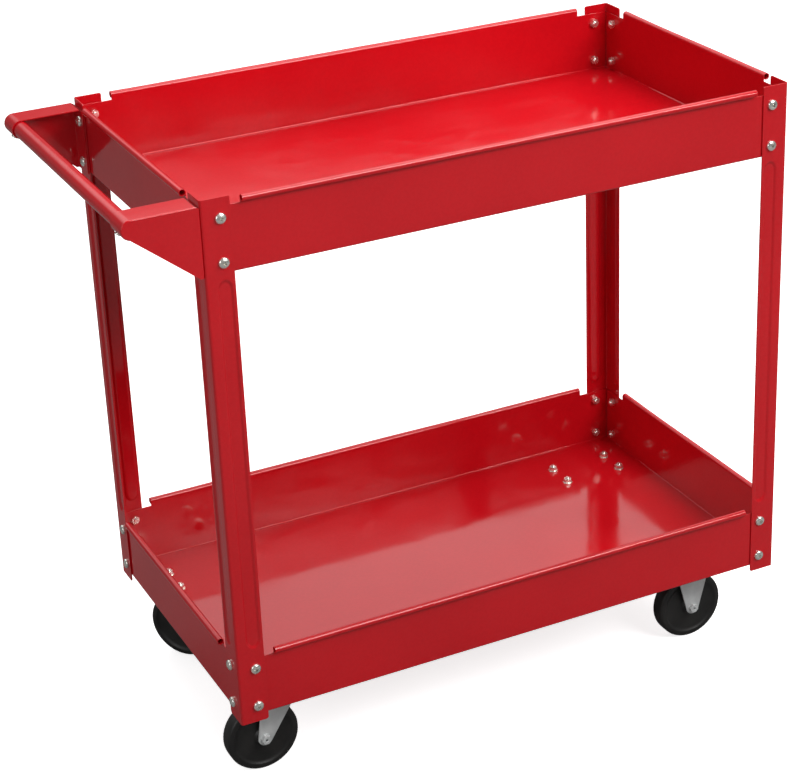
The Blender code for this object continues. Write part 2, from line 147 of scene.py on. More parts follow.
def spinEdges(bm, geom, centre, axis, degrees, steps):
    verts = {vert for edge in geom for vert in edge.verts}
    made = bmesh.ops.spin(bm, geom=list(verts) + list(geom), cent=centre, axis=axis,
                          angle=math.radians(degrees), steps=steps, use_merge=False)
    return [item for item in made["geom_last"] if isinstance(item, bmesh.types.BMEdge)]


def spinPoint(bm, vert, centre, axis, degrees, steps):
    made = bmesh.ops.spin(bm, geom=[vert], cent=centre, axis=axis, angle=math.radians(degrees),
                          steps=steps, use_merge=False)
    return [item for item in made["geom_last"] if isinstance(item, bmesh.types.BMVert)][0]


def pathOf(bm, points):
    verts = [bm.verts.new(point) for point in points]
    return verts, [bm.edges.new(pair) for pair in zip(verts, verts[1:])]


def turned(profile, sides):
    # a closed solid turned round Z from (radius, height) points that start and end on the axis
    bm = bmesh.new()
    verts, edges = pathOf(bm, [(radius, 0, height) for radius, height in profile])
    bmesh.ops.spin(bm, geom=verts + edges, cent=(0, 0, 0), axis=up, angle=math.tau, steps=sides,
                   use_merge=True)
    bmesh.ops.remove_doubles(bm, verts=bm.verts, dist=1e-6)
    faceOut(bm)
    return bm


def turnedRing(profile, sides):
    # a ring turned round Z from a closed loop of (radius, height) points
    bm = bmesh.new()
    verts, edges = pathOf(bm, [(radius, 0, height) for radius, height in profile])
    edges.append(bm.edges.new((verts[-1], verts[0])))
    bmesh.ops.spin(bm, geom=verts + edges, cent=(0, 0, 0), axis=up, angle=math.tau, steps=sides,
                   use_merge=True)
    faceOut(bm)
    return bm


def faceOut(bm, inside=None):
    # closed solids face out of themselves, open sheets face away from a point behind them
    bmesh.ops.recalc_face_normals(bm, faces=bm.faces)
    if inside is None:
        wrong = bm.calc_volume(signed=True) < 0
    else:
        inside = Vector(inside)
        wrong = sum((face.calc_center_median() - inside).dot(face.normal) * face.calc_area()
                    for face in bm.faces) < 0
    if wrong:
        bmesh.ops.reverse_faces(bm, faces=bm.faces)


def roundEdges(bm, edges, width, segments=3):
    bmesh.ops.bevel(bm, geom=edges, offset=width, offset_type='OFFSET', affect='EDGES',
                    segments=segments, profile=0.5, material=-1, clamp_overlap=True)


def carve(bm, tool, operation):
    # Boolean of two closed shapes, as a new bmesh
    held = []
    for label, shape in (("stock", bm), ("tool", tool)):
        mesh = bpy.data.meshes.new(label)
        shape.to_mesh(mesh)
        shape.free()
        held.append(bpy.data.objects.new(label, mesh))
        bpy.context.scene.collection.objects.link(held[-1])
    modifier = held[0].modifiers.new("Carve", 'BOOLEAN')
    modifier.operation = operation
    modifier.solver = 'EXACT'
    modifier.object = held[1]
    result = bmesh.new()
    result.from_object(held[0], bpy.context.evaluated_depsgraph_get())
    for item in held:
        bpy.data.meshes.remove(item.data)
    return result


def prism(sides, radius, low, high):
    bm = bmesh.new()
    bmesh.ops.create_cone(bm, cap_ends=True, segments=sides, radius1=radius, radius2=radius,
                          depth=high - low, matrix=Matrix.Translation((0, 0, (low + high) / 2)))
    return bm


def placed(shape, place, direction, spin=0.0):
    # a copy of a shape made about Z, with +Z turned to direction
    bm = shape.copy()
    turn = up.rotation_difference(Vector(direction)).to_matrix().to_4x4()
    bmesh.ops.transform(bm, matrix=Matrix.Translation(place) @ turn @ Matrix.Rotation(spin, 4, 'Z'),
                        verts=bm.verts)
    return bm


def makePiece(name, bm, body, finish, nodes=(), sheet=0.0, rounding=0.0, sharp=35):
    mesh = bpy.data.meshes.new(name)
    bm.to_mesh(mesh)
    bm.free()
    mesh.shade_smooth()
    mesh.set_sharp_from_angle(angle=math.radians(sharp))
    mesh.materials.append(finish.material)
    piece = bpy.data.objects.new(name, mesh)
    bpy.context.scene.collection.objects.link(piece)
    if sheet:
        modifier = piece.modifiers.new("Sheet", 'SOLIDIFY')
        modifier.thickness = sheet
        modifier.offset = -1.0
        modifier.use_even_offset = True
    if rounding:
        modifier = piece.modifiers.new("Rounding", 'BEVEL')
        modifier.width = rounding
        modifier.segments = 2
        modifier.limit_method = 'ANGLE'
        modifier.angle_limit = math.radians(sharp)
        modifier.harden_normals = True
        piece.modifiers.new("FlatFaces", 'WEIGHTED_NORMAL').keep_sharp = True
    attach(piece, body)
    if nodes:
        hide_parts(*nodes)
    return piece


# Finishes


def redPowderCoat():
    look = {"deep": (0.480, 0.0030, 0.0080), "bright": (0.600, 0.0060, 0.0120),
            "edge": (0.700, 0.0300, 0.0300), "gloss": 0.08, "glossSpread": 0.07, "edgeGloss": 0.08,
            "edgeRadius": 0.0011, "edgePaint": 0.30, "cloud": 4.0, "speck": 260.0, "rubbed": 9.0,
            "peel": 420.0, "peelDepth": 0.00025, "ripple": 22.0, "rippleDepth": 0.0012}
    paint = Finish("redPowderCoat", "red_powder_coat", Metallic=0.0, IOR=1.5)
    cloud = paint.grain(look["cloud"], 3.0).above(0.3, 0.7)
    speck = paint.grain(look["speck"], 2.0).above(0.35, 0.65)
    edge = paint.edges(look["edgeRadius"])
    base = paint.mix(look["deep"], look["bright"], 0.35 + cloud * 0.45 + speck * 0.20)
    # lighter along edges and folds: partly the thinner coat there, partly a painted highlight where they
    # catch light
    paint.feed("Base Color", paint.mix(base, look["edge"], edge * look["edgePaint"]))
    rubbed = paint.grain(look["rubbed"], 5.0, (1, 1, 0.4), 0.6).above(0.45, 0.75)
    paint.feed("Roughness", look["gloss"] + look["glossSpread"] * rubbed + edge * look["edgeGloss"])
    peel = paint.bump(paint.grain(look["peel"], 1.0), 0.10, look["peelDepth"])
    paint.feed("Normal", paint.bump(paint.grain(look["ripple"], 1.0), 0.22, look["rippleDepth"], peel))
    return paint


def zincPlate():
    look = {"dull": (0.600, 0.620, 0.620), "clear": (0.740, 0.760, 0.755),
            "stain": (0.440, 0.440, 0.420), "edge": (0.700, 0.710, 0.710), "edgeRadius": 0.0008,
            "cloud": 60.0, "rolled": 90.0, "rollStretch": (1.0, 9.0, 1.0), "spot": 24.0,
            "spotPaint": 0.35, "satin": 0.36, "pit": 500.0, "pitDepth": 0.0003}
    zinc = Finish("zincPlate", "zinc_plate", Metallic=0.40, IOR=1.5)
    cloud = zinc.grain(look["cloud"], 4.0).above(0.35, 0.65)
    rolled = zinc.grain(look["rolled"], 3.0, look["rollStretch"])
    spot = zinc.grain(look["spot"], 5.0, (1, 1, 1), 1.0).above(0.60, 0.76)
    edge = zinc.edges(look["edgeRadius"])
    base = zinc.mix(look["dull"], look["clear"], cloud * 0.7 + rolled * 0.3)
    base = zinc.mix(base, look["stain"], spot * look["spotPaint"])
    zinc.feed("Base Color", zinc.mix(base, look["edge"], edge * 0.6))
    zinc.feed("Roughness", look["satin"] + cloud * 0.12 + spot * 0.15 - edge * 0.08)
    pit = zinc.grain(look["pit"], 2.0)
    zinc.feed("Normal", zinc.bump(rolled + pit * 0.5, 0.12, look["pitDepth"]))
    return zinc


def brightZinc():
    look = {"cool": (0.840, 0.850, 0.800), "warm": (0.960, 0.930, 0.850),
            "edge": (0.980, 0.970, 0.930), "edgeRadius": 0.0004, "cloud": 180.0, "gloss": 0.17,
            "smear": 900.0, "pit": 700.0, "pitDepth": 0.0002}
    zinc = Finish("brightZinc", "bright_zinc", Metallic=0.90, IOR=1.6)
    cloud = zinc.grain(look["cloud"], 3.0).above(0.35, 0.65)
    edge = zinc.edges(look["edgeRadius"])
    base = zinc.mix(look["cool"], look["warm"], cloud)
    zinc.feed("Base Color", zinc.mix(base, look["edge"], edge * 0.5))
    smear = zinc.grain(look["smear"], 2.0)
    zinc.feed("Roughness", look["gloss"] + cloud * 0.08 + smear * 0.05)
    zinc.feed("Normal", zinc.bump(zinc.grain(look["pit"], 2.0), 0.10, look["pitDepth"]))
    return zinc


def blackWheel():
    look = {"black": (0.0085, 0.0080, 0.0075), "worn": (0.020, 0.0190, 0.0175),
            "dust": (0.060, 0.056, 0.050), "edgeRadius": 0.0012, "cloud": 30.0, "speck": 420.0,
            "dustPaint": 0.25, "satin": 0.38, "pit": 650.0, "pitDepth": 0.0003}
    rubber = Finish("blackWheel", "black_wheel", Metallic=0.0, IOR=1.5)
    cloud = rubber.grain(look["cloud"], 4.0).above(0.3, 0.7)
    speck = rubber.grain(look["speck"], 3.0).above(0.62, 0.75)
    edge = rubber.edges(look["edgeRadius"])
    base = rubber.mix(look["black"], look["worn"], cloud * 0.7 + edge * 0.5)
    rubber.feed("Base Color", rubber.mix(base, look["dust"], speck * look["dustPaint"]))
    rubber.feed("Roughness", look["satin"] + cloud * 0.14 + speck * 0.2)
    rubber.feed("Normal", rubber.bump(rubber.grain(look["pit"], 2.0), 0.14, look["pitDepth"]))
    return rubber


red = redPowderCoat()
zinc = zincPlate()
bright = brightZinc()
black = blackWheel()
print("finishes made")

# Trays

pan = {"sheet": 0.001, "bend": 0.0025, "bendSteps": 5, "curl": 0.00425, "curlTurn": 328,
       "curlSteps": 20, "cornerDrop": 0.010, "rimInset": 0.0457, "seam": 0.0003,
       "columns": (44, 26), "wallRows": (0.3, 0.6), "wave": 0.0006, "waveRest": 0.06,
       "waveScale": 5, "waveCut": 1.7, "wallWave": 0.0005, "wallRest": 0.05, "wallScale": 6,
       "rounding": 0.0003, "sharp": 50}


def waveFloor(bm, flat):
    # a pressed floor is never quite flat: it rises a little between its folds
    for vert in bm.verts:
        rest = min((flat[axis] - abs(vert.co[axis])) / pan["waveRest"] for axis in (0, 1))
        spot = Vector((vert.co.x * pan["waveScale"], vert.co.y * pan["waveScale"], pan["waveCut"]))
        swell = 0.5 + 0.5 * noise.noise(spot)
        vert.co.z += pan["wave"] * swell * min(max(rest, 0), 1)


def foldWall(bm, edges, axis, side, half, heights, rim):
    # bends one wall up from the floor's edge and rolls its rim outwards
    along = 1 - axis
    out = Vector((0, 0, 0))
    out[axis] = side
    hinge = out.cross(up)
    bend, seam = pan["bend"], pan["bend"] - pan["sheet"] - pan["seam"]
    edges = spinEdges(bm, edges, out * (half[axis] - bend) + up * bend, hinge, 90,
                      pan["bendSteps"])
    last = bend
    for step, height in enumerate(heights):
        edges = extrude(bm, edges, up * (height - last))
        last = height
        verts = {vert for edge in edges for vert in edge.verts}
        reach = max(abs(vert.co[along]) for vert in verts)
        for vert in verts:
            if step == 0 and abs(vert.co[along]) > reach - 1e-5:
                vert.co[along] += math.copysign(seam, vert.co[along])
            rest = min(max((rim - abs(vert.co[along])) / pan["wallRest"], 0), 1)
            if 0 < step < len(heights) - 1:
                swell = noise.noise(vert.co * pan["wallScale"] + out * 3)
                vert.co += out * pan["wallWave"] * rest * swell
    top = [edge for edge in edges if all(abs(vert.co[along]) < rim + 1e-5 for vert in edge.verts)]
    rimTop = heights[-1] + pan["cornerDrop"]
    top = extrude(bm, top, up * (rimTop - pan["curl"] - last))
    radius = pan["curl"] - pan["sheet"]
    spinEdges(bm, top, out * (half[axis] + radius) + up * (rimTop - pan["curl"]), -hinge,
              pan["curlTurn"], pan["curlSteps"])


def makeTray(level):
    low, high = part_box(f"{level}_tray")
    reach = (high - low) / 2
    half = [reach[axis] - 2 * pan["curl"] + pan["sheet"] for axis in (0, 1)]
    flat = [value - pan["bend"] for value in half]
    rims = [value - pan["rimInset"] for value in half]
    corner = high.z - low.z - pan["cornerDrop"]
    bm = bmesh.new()
    bmesh.ops.create_grid(bm, x_segments=pan["columns"][0], y_segments=pan["columns"][1], size=1)
    bmesh.ops.scale(bm, vec=(flat[0], flat[1], 1), verts=bm.verts)
    for axis in (0, 1):
        for side in (-1, 1):
            cut = Vector((0, 0, 0))
            cut[axis] = side
            bmesh.ops.bisect_plane(bm, geom=bm.verts[:] + bm.edges[:] + bm.faces[:], dist=1e-6,
                                   plane_co=cut * rims[axis], plane_no=cut)
    waveFloor(bm, flat)
    borders = {}
    for axis in (0, 1):
        for side in (-1, 1):
            borders[axis, side] = [edge for edge in bm.edges if edge.is_boundary and all(
                abs(vert.co[axis] - side * flat[axis]) < 1e-5 for vert in edge.verts)]
    heights = [pan["bend"] + 0.001, *(corner * share for share in pan["wallRows"]), corner]
    for (axis, side), edges in borders.items():
        foldWall(bm, edges, axis, side, half, heights, rims[1 - axis])
    faceOut(bm, (0, 0, corner / 2))
    bmesh.ops.translate(bm, vec=((low.x + high.x) / 2, (low.y + high.y) / 2, low.z), verts=bm.verts)
    makePiece(f"{level}TrayPan", bm, "cart", red, [f"{level}_tray"], pan["sheet"], pan["rounding"],
              pan["sharp"])


for level in ("top", "bottom"):
    makeTray(level)
print("trays folded")

# Legs

angle = {"sheet": 0.0015, "bend": 0.003, "bendSteps": 6, "step": 0.001, "ribInset": 0.0227,
         "ribHalf": 0.0095, "ribSlope": 0.0030, "ribEnd": 0.014, "ribDepth": 0.002,
         "ribLow": 0.101, "ribHigh": 0.574, "ribRows": 17, "ribSpans": 8, "footRadius": 0.003,
         "topRadius": 0.0022, "rounding": 0.0004, "sharp": 50,
         "footRows": (0, 0.0006, 0.0014, 0.0024, 0.0036, 0.005, 0.03, 0.06, 0.085),
         "topRows": (0.06, 0.03, 0.0022, 0.0014, 0.0007, 0)}


def ease(value):
    value = min(max(value, 0), 1)
    return value * value * (3 - 2 * value)


def legRows(height):
    # heights of the flange's rows, close together at both ends of the leg and of the rib
    low, high, spans = angle["ribLow"], angle["ribHigh"], angle["ribSpans"]
    fine = [index * angle["step"] for index in range(-1, angle["ribRows"])]
    rows = [*angle["footRows"], *(low + step for step in fine)]
    rows += [low + (high - low) * part / spans for part in range(1, spans)]
    rows += [high - step for step in reversed(fine)]
    return rows + [height - step for step in angle["topRows"]]


def pressRib(vert, flange):
    # sinks the round-ended rib into one flange; flange is the axis that runs across it
    start, end = angle["ribLow"] + angle["ribEnd"], angle["ribHigh"] - angle["ribEnd"]
    across = vert.co[flange] - angle["ribInset"]
    past = max(start - vert.co.z, vert.co.z - end, 0) * angle["ribHalf"] / angle["ribEnd"]
    depth = (angle["ribHalf"] - math.hypot(across, past)) / angle["ribSlope"]
    vert.co[1 - flange] += angle["ribDepth"] * ease(depth)


def roundFoot(vert, flange, width, height):
    # pulls the flange's free corners in to a radius
    for distance, radius in ((vert.co.z, angle["footRadius"]),
                             (height - vert.co.z, angle["topRadius"])):
        if distance < radius:
            pull = radius - math.sqrt(radius ** 2 - (radius - distance) ** 2)
            start = width - 2 * radius
            share = max((vert.co[flange] - start) / (width - start), 0)
            vert.co[flange] -= pull * share


def makeLeg(side, end, inX, inY):
    low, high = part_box(f"leg_{side}_{end}")
    width, height = high.x - low.x, high.z - low.z
    bm = bmesh.new()
    _, edges = pathOf(bm, [(width, 0, row) for row in legRows(height)])
    steps = round((width - angle["bend"]) / angle["step"])
    stride = (width - angle["bend"]) / steps
    for _ in range(steps):
        edges = extrude(bm, edges, (-stride, 0, 0))
    sideFlange = list(bm.verts)
    edges = spinEdges(bm, edges, (angle["bend"], angle["bend"], 0), -up, 90,
                      angle["bendSteps"])
    bent = set(bm.verts)
    for _ in range(steps):
        edges = extrude(bm, edges, (0, stride, 0))
    for vert in sideFlange:
        pressRib(vert, 0)
        roundFoot(vert, 0, width, height)
    for vert in set(bm.verts) - bent:
        pressRib(vert, 1)
        roundFoot(vert, 1, width, height)
    bmesh.ops.scale(bm, vec=(inX, inY, 1), verts=bm.verts)
    faceOut(bm, (inX * width, inY * width, height / 2))
    corner = (low.x if inX > 0 else high.x, low.y if inY > 0 else high.y, low.z)
    bmesh.ops.translate(bm, vec=corner, verts=bm.verts)
    makePiece(f"leg_{side}_{end}_angle", bm, "cart", red, [f"leg_{side}_{end}"], angle["sheet"],
              angle["rounding"], angle["sharp"])


ways = {"left": 1, "right": -1, "front": 1, "back": -1}      # from that face towards the middle
for side in ("front", "back"):
    for end in ("left", "right"):
        makeLeg(side, end, ways[end], ways[side])
print("legs pressed")

# Handle

bracket = {"sheet": 0.0015, "fold": 0.0017, "foldSteps": 4, "flange": 0.034, "back": 0.005,
           "tabDrop": 0.003, "wrapTurn": 172, "wrapSteps": 16, "gap": 0.0003, "rounding": 0.0004,
           "sharp": 50}
tube = {"wall": 0.0012, "sides": 64, "rounding": 0.0003}


def makeBracket(side):
    low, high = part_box(f"handle_bracket_{side}")
    tubeLow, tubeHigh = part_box("handle_tube")
    axis = (tubeLow + tubeHigh) / 2
    inwards = ways[side]
    face = low.y if inwards > 0 else high.y
    right, top = high.x, high.z
    back = right + bracket["gap"] - bracket["back"]
    bm = bmesh.new()
    foldStart = bm.verts.new((back, face, top))
    crest = bm.verts.new((axis.x, face, top))
    bm.edges.new((foldStart, crest))
    bend = spinPoint(bm, crest, axis, (0, -1, 0), bracket["wrapTurn"],
                     bracket["wrapSteps"])
    foldEdges = list(bm.edges)
    foot = bm.verts.new((back, face, low.z))
    tabFoot = bm.verts.new((right, face, low.z))
    tabTop = bm.verts.new((right, face, top - bracket["tabDrop"]))
    for pair in ((bend, foot), (foot, tabFoot), (tabTop, foldStart)):
        bm.edges.new(pair)
    tabEdge = bm.edges.new((tabFoot, tabTop))
    bmesh.ops.contextual_create(bm, geom=bm.edges[:])
    for strip in (foldEdges, [tabEdge]):
        extrude(bm, strip, (0, inwards * bracket["flange"], 0))
    roundEdges(bm, foldEdges + [tabEdge], bracket["fold"], bracket["foldSteps"])
    faceOut(bm, (axis.x / 2 + right / 2, face + inwards * bracket["flange"] / 2, axis.z))
    makePiece(f"handleBracket_{side}", bm, "cart", red, [f"handle_bracket_{side}"],
              bracket["sheet"], bracket["rounding"], bracket["sharp"])


def makeTube():
    low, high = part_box("handle_tube")
    axis, radius = (low + high) / 2, (high.z - low.z) / 2
    half, inner = (high.y - low.y) / 2, radius - tube["wall"]
    shape = turnedRing([(radius, -half), (radius, -half / 3), (radius, half / 3), (radius, half),
                        (inner, half), (inner, -half)], tube["sides"])
    makePiece("handleTube", placed(shape, axis, (0, 1, 0)), "cart", red, ["handle_tube"],
              rounding=tube["rounding"])


for side in ("front", "back"):
    makeBracket(side)
makeTube()
print("handle wrapped")

# Bolts and nuts

bolt = {"gap": 0.0003, "head": 0.0045, "headRadius": 0.0065, "dome": (22, 42, 60, 75, 87),
        "domeReach": 0.98, "domeBase": 0.42, "domeRise": 0.58, "rim": 0.34, "rimBreak": 0.0002,
        "shank": 0.003, "plain": 0.8, "threadTop": 0.85, "thread": 0.00035, "pitch": 0.0008,
        "nut": 0.005, "nutRadius": 0.0058, "nutPlay": 0.00005, "tip": 0.002, "recess": 0.0066,
        "recessWidth": 0.0018, "recessDepth": 0.0030, "sides": 28, "sharp": 32, "turnFirst": 17,
        "turnStep": 47, "nutTurn": 1.7}


def threadedEnd(radius, top, bottom, pitch, depth):
    # half-section down a threaded end, from its top to its chamfered tip
    points, height = [], top
    while height - pitch > bottom + pitch * 0.6:
        points += [(radius, height), (radius - depth, height - pitch / 2)]
        height -= pitch
    return points + [(radius, height), (radius - depth * 1.6, bottom), (0, bottom)]


def crossRecess(span, width, top, depth, narrowing=0.55):
    # four-armed driver recess, narrowing downwards
    arms = []
    for size in ((span, width), (width, span)):
        arm = bmesh.new()
        bmesh.ops.create_cube(arm, size=1.0)
        bmesh.ops.scale(arm, vec=(*size, 2 * depth), verts=arm.verts)
        for vert in arm.verts:
            if vert.co.z < 0:
                vert.co.x *= narrowing
                vert.co.y *= narrowing
        bmesh.ops.translate(arm, vec=(0, 0, top), verts=arm.verts)
        arms.append(arm)
    return carve(*arms, 'UNION')


def panHeadBolt(grip):
    radius, head, shank, nut = (bolt[key] for key in ("headRadius", "head", "shank", "nut"))
    profile = [(0, head)]
    for turn in map(math.radians, bolt["dome"]):
        profile.append((radius * math.sin(turn) * bolt["domeReach"],
                        head * (bolt["domeBase"] + bolt["domeRise"] * math.cos(turn))))
    profile += [(radius, head * bolt["rim"]), (radius, bolt["rimBreak"]),
                (radius - bolt["rimBreak"], 0), (shank, 0), (shank, -grip - nut * bolt["plain"])]
    profile += threadedEnd(shank, -grip - nut * bolt["threadTop"],
                           -grip - nut - bolt["tip"] - bolt["gap"], bolt["pitch"], bolt["thread"])
    recess = crossRecess(bolt["recess"], bolt["recessWidth"], head, bolt["recessDepth"])
    return carve(turned(profile, bolt["sides"]), recess, 'DIFFERENCE')


hexForm = {"chamfer": 0.16, "face": 0.90, "corner": 1.02, "slope": 0.6, "lead": 0.0004,
           "past": 0.001, "turnSides": 36, "boreSides": 24}


def hexNut(radius, height, bore):
    # six flats, both faces turned to a chamfer, and a bore with a lead-in at each end
    blank = prism(6, radius, -height, 0)
    face, corner = radius * hexForm["face"], radius * hexForm["corner"]
    drop = hexForm["chamfer"] * radius * hexForm["slope"]
    turn = turned([(0, 0), (face, 0), (corner, -drop), (corner, -height + drop), (face, -height),
                   (0, -height)], hexForm["turnSides"])
    blank = carve(blank, turn, 'INTERSECT')
    lead, past = hexForm["lead"], hexForm["past"]
    hole = turned([(0, past), (bore + lead, past), (bore + lead, 0), (bore, -lead),
                   (bore, -height + lead), (bore + lead, -height), (bore + lead, -height - past),
                   (0, -height - past)], hexForm["boreSides"])
    return carve(blank, hole, 'DIFFERENCE')


washerForm = {"inner": 0.0033, "outer": 0.0068, "thick": 0.0011, "edge": 0.25, "sides": 32}


def washer():
    inner, outer, thick = (washerForm[key] for key in ("inner", "outer", "thick"))
    edge = thick * washerForm["edge"]
    return turnedRing([(inner, 0), (inner, thick), (outer - edge, thick), (outer, thick - edge),
                       (outer, edge), (outer - edge, 0)], washerForm["sides"])


boltShapes = {}
nutShape = hexNut(bolt["nutRadius"], bolt["nut"], bolt["shank"] + bolt["nutPlay"])


def boltOf(grip):
    key = round(grip, 4)
    if key not in boltShapes:
        boltShapes[key] = panHeadBolt(grip)
    return boltShapes[key]


def makeTrayBolts():
    count = 0
    for node in sorted(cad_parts):
        if not node.startswith("bolt_"):
            continue
        low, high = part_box(node)
        words = node.split("_")
        axis = 1 if words[4] == "side" else 0
        inwards = ways[words[2] if axis else words[3]]
        direction = Vector((0, 0, 0))
        direction[axis] = -inwards
        place = (low + high) / 2
        outer = low[axis] if inwards > 0 else high[axis]
        place[axis] = outer + inwards * (bolt["gap"] + bolt["head"])
        grip = (high - low)[axis] - bolt["head"] - bolt["nut"] - bolt["tip"] - 2 * bolt["gap"]
        turn = math.radians(bolt["turnFirst"] + bolt["turnStep"] * count % 90)
        label = node.replace("bolt_", "")
        makePiece(f"trayBolt_{label}", placed(boltOf(grip), place, direction, turn), "cart", bright,
                  [node], sharp=bolt["sharp"])
        seat = place - direction * (grip + bolt["gap"])
        makePiece(f"trayNut_{label}", placed(nutShape, seat, direction, turn * bolt["nutTurn"]),
                  "cart", bright, sharp=bolt["sharp"])
        count += 1
    return count


print("bolts and nuts:", makeTrayBolts())

handleScrew = {"head": 0.0020, "headRadius": 0.0044, "shank": 0.0021, "reach": 0.0118,
               "length": 0.006, "angle": 236, "dome": ((0.5, 0.95), (0.8, 0.75), (1, 0.3)),
               "plain": 0.8, "recess": 1.1, "recessWidth": 0.0008, "recessDepth": 0.0012,
               "turn": 0.6, "sides": 24}


def makeHandleScrew(side):
    low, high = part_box(f"handle_screw_{side}")
    tubeLow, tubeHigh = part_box("handle_tube")
    turn = math.radians(handleScrew["angle"])
    direction = Vector((math.cos(turn), 0, math.sin(turn)))
    axis = (tubeLow + tubeHigh) / 2
    axis.y = (low.y + high.y) / 2
    radius, head, shank, length = (handleScrew[key] for key in
                                   ("headRadius", "head", "shank", "length"))
    dome = [(radius * reach, head * rise) for reach, rise in handleScrew["dome"]]
    profile = [(0, head), *dome, (radius, 0), (shank, 0), (shank, -length * handleScrew["plain"]),
               (0, -length)]
    recess = crossRecess(radius * handleScrew["recess"], handleScrew["recessWidth"], head,
                         handleScrew["recessDepth"])
    shape = carve(turned(profile, handleScrew["sides"]), recess, 'DIFFERENCE')
    place = axis + direction * handleScrew["reach"]
    makePiece(f"handleScrew_{side}", placed(shape, place, direction, handleScrew["turn"]), "cart",
              bright, [f"handle_screw_{side}"], sharp=bolt["sharp"])


for side in ("front", "back"):
    makeHandleScrew(side)

# Casters

caster = {"plateThick": 0.0025, "plateCorner": 0.007, "cornerSteps": 6, "holes": (0.085, 0.042),
          "fold": 0.0034, "foldSteps": 5, "forkSheet": 0.0022, "forkInner": 0.0145,
          "endRadius": 0.0095, "endSteps": 18, "fixedSpan": (-0.031, 0.031),
          "swivelSpan": (-0.036, 0.021), "fixedGap": 0.0001, "rounding": 0.0005, "sharp": 40,
          "boltTurn": (20, 37), "washerRoom": 0.0012}


def makeMountingPlate(name, low, high, nodes):
    bm = bmesh.new()
    bmesh.ops.create_cube(bm, size=1.0)
    thick = caster["plateThick"]
    bmesh.ops.scale(bm, vec=(high.x - low.x, high.y - low.y, thick), verts=bm.verts)
    corners = [edge for edge in bm.edges if abs(edge.verts[0].co.z - edge.verts[1].co.z) > thick / 2]
    roundEdges(bm, corners, caster["plateCorner"], caster["cornerSteps"])
    middle = (low + high) / 2
    bmesh.ops.translate(bm, vec=(middle.x, middle.y, high.z - thick / 2), verts=bm.verts)
    makePiece(name, bm, "cart", zinc, nodes, rounding=caster["rounding"])


def makeFork(name, body, span, top, axle, nodes, heading=0.0):
    # one sheet folded into a U: a flat top with a tapering cheek on each side of the wheel
    reach = caster["forkInner"] + caster["forkSheet"]
    radius = caster["endRadius"]
    bm = bmesh.new()
    topLeft, topRight = (bm.verts.new((x, reach, top - axle.z)) for x in span)
    leans = []
    for vert, side in ((topLeft, 1), (topRight, -1)):
        away = math.hypot(vert.co.x, vert.co.z)
        leans.append(math.atan2(vert.co.z, vert.co.x) + side * math.acos(radius / away))
    start = bm.verts.new((radius * math.cos(leans[0]), reach, radius * math.sin(leans[0])))
    sweep = math.degrees((leans[1] - leans[0]) % math.tau)
    end = spinPoint(bm, start, (0, 0, 0), (0, -1, 0), sweep, caster["endSteps"])
    fold = bm.edges.new((topLeft, topRight))
    bm.edges.new((topLeft, start))
    bm.edges.new((end, topRight))
    bmesh.ops.contextual_create(bm, geom=bm.edges[:])
    extrude(bm, [fold], (0, -reach, 0))
    roundEdges(bm, [fold], caster["fold"], caster["foldSteps"])
    bmesh.ops.mirror(bm, geom=bm.verts[:] + bm.edges[:] + bm.faces[:], matrix=Matrix.Identity(4),
                     merge_dist=1e-5, axis='Y')
    faceOut(bm, (sum(span) / 2, 0, (top - axle.z) / 2))
    bmesh.ops.transform(bm, matrix=Matrix.Translation(axle) @ Matrix.Rotation(heading, 4, 'Z'),
                        verts=bm.verts)
    makePiece(name, bm, body, zinc, nodes, caster["forkSheet"], caster["rounding"], caster["sharp"])


wheelForm = {"sides": 72, "treadHalf": 0.0110, "treadRounding": 0.0048, "treadTurns": range(0, 90, 15),
             "sharp": 48,
             "hubToTread": ((0.0046, 0.0126), (0.0054, 0.0130), (0.0100, 0.0130), (0.0108, 0.0124),
                            (0.0122, 0.0092), (0.0135, 0.0086), (0.0250, 0.0083), (0.0350, 0.0086),
                            (0.0375, 0.0094), (0.0390, 0.0107), (0.0400, 0.0111), (0.0408, 0.0109))}


def makeWheel(name, body, node, heading=0.0):
    low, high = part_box(node)
    centre, radius = (low + high) / 2, (high.z - low.z) / 2
    rounding, treadHalf = wheelForm["treadRounding"], wheelForm["treadHalf"]
    half = list(wheelForm["hubToTread"])
    for turn in map(math.radians, wheelForm["treadTurns"]):
        half.append((radius - rounding + rounding * math.sin(turn),
                     treadHalf - rounding + rounding * math.cos(turn)))
    profile = half + [(radius, 0.0)] + [(reach, -offset) for reach, offset in reversed(half)]
    shape = turnedRing(profile, wheelForm["sides"])
    shape = placed(shape, centre, (-math.sin(heading), math.cos(heading), 0))
    makePiece(name, shape, body, black, [node], sharp=wheelForm["sharp"])
    return centre


axle = {"radius": 0.004, "hexRadius": 0.0062, "head": 0.0046, "nut": 0.0042, "end": 0.0054,
        "threadGap": 0.0002, "pitch": 0.0008, "thread": 0.0003, "socket": 0.45, "headTurn": 0.35,
        "nutTurn": 0.25, "nutPlay": 0.00005, "bush": 0.0003, "bushPlay": 0.0001,
        "bushInset": 0.0002, "sides": 24, "sharp": 32}


